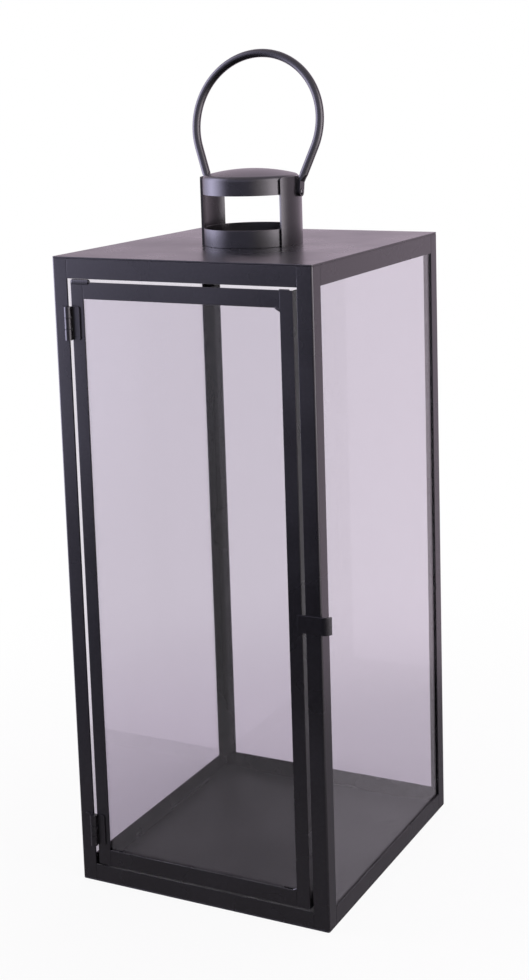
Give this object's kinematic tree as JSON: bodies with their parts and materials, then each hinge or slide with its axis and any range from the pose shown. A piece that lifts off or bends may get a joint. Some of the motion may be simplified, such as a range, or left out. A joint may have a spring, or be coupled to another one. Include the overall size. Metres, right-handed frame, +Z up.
{
  "type": "candle lantern",
  "caption": "Tall square candle lantern: black metal frame, clear panes, hinged glass door with a latch, round vent crown and a swinging ring handle.",
  "frame": {"origin": "on the floor, under the middle of the body", "axes": "+Z up; the door faces -Y; +X towards the latch side of the door"},
  "size_m": [0.2476, 0.261, 0.7161],
  "materials": {
    "black_metal": "satin",
    "clear_glass": "polished"
  },
  "bodies": {
    "lantern_frame": {"base_plate": "black_metal", "top_plate": "black_metal", "post_front_left": "black_metal", "post_front_right": "black_metal", "post_back_left": "black_metal", "post_back_right": "black_metal", "bottom_rail_front": "black_metal", "bottom_rail_back": "black_metal", "bottom_rail_left": "black_metal", "bottom_rail_right": "black_metal", "top_rail_front": "black_metal", "top_rail_back": "black_metal", "top_rail_left": "black_metal", "top_rail_right": "black_metal", "glass_left": "clear_glass", "glass_right": "clear_glass", "glass_back": "clear_glass", "glass_clips": "black_metal", "glazing_strip_left": "black_metal", "glazing_strip_right": "black_metal", "glazing_strip_back": "black_metal", "crown_ring": "black_metal", "crown_cap": "black_metal", "crown_strap_left": "black_metal", "crown_strap_right": "black_metal", "handle_rivets": "black_metal", "hinge_leaf_frame_upper": "black_metal", "hinge_leaf_frame_lower": "black_metal", "hinge_pin_upper": "black_metal", "hinge_pin_lower": "black_metal"},
    "door": {"door_stile_left": "black_metal", "door_stile_right": "black_metal", "door_rail_bottom": "black_metal", "door_rail_top": "black_metal", "door_glass": "clear_glass", "door_glass_clips": "black_metal", "latch_plate": "black_metal", "hinge_leaf_door_upper": "black_metal", "hinge_leaf_door_lower": "black_metal"},
    "handle": {"ring_handle": "black_metal"}
  },
  "joints": [
    {"name": "door_hinge", "type": "hinge", "parent": "lantern_frame", "child": "door", "pos_m": [-0.1044, -0.1305, 0], "axis": [0, 0, -1], "range_deg": [0, 198]},
    {"name": "handle_swing", "type": "hinge", "parent": "lantern_frame", "child": "handle", "pos_m": [0, 0.0045, 0.5952], "axis": [1, 0, 0], "range_deg": [-100, 119]}
  ]
}
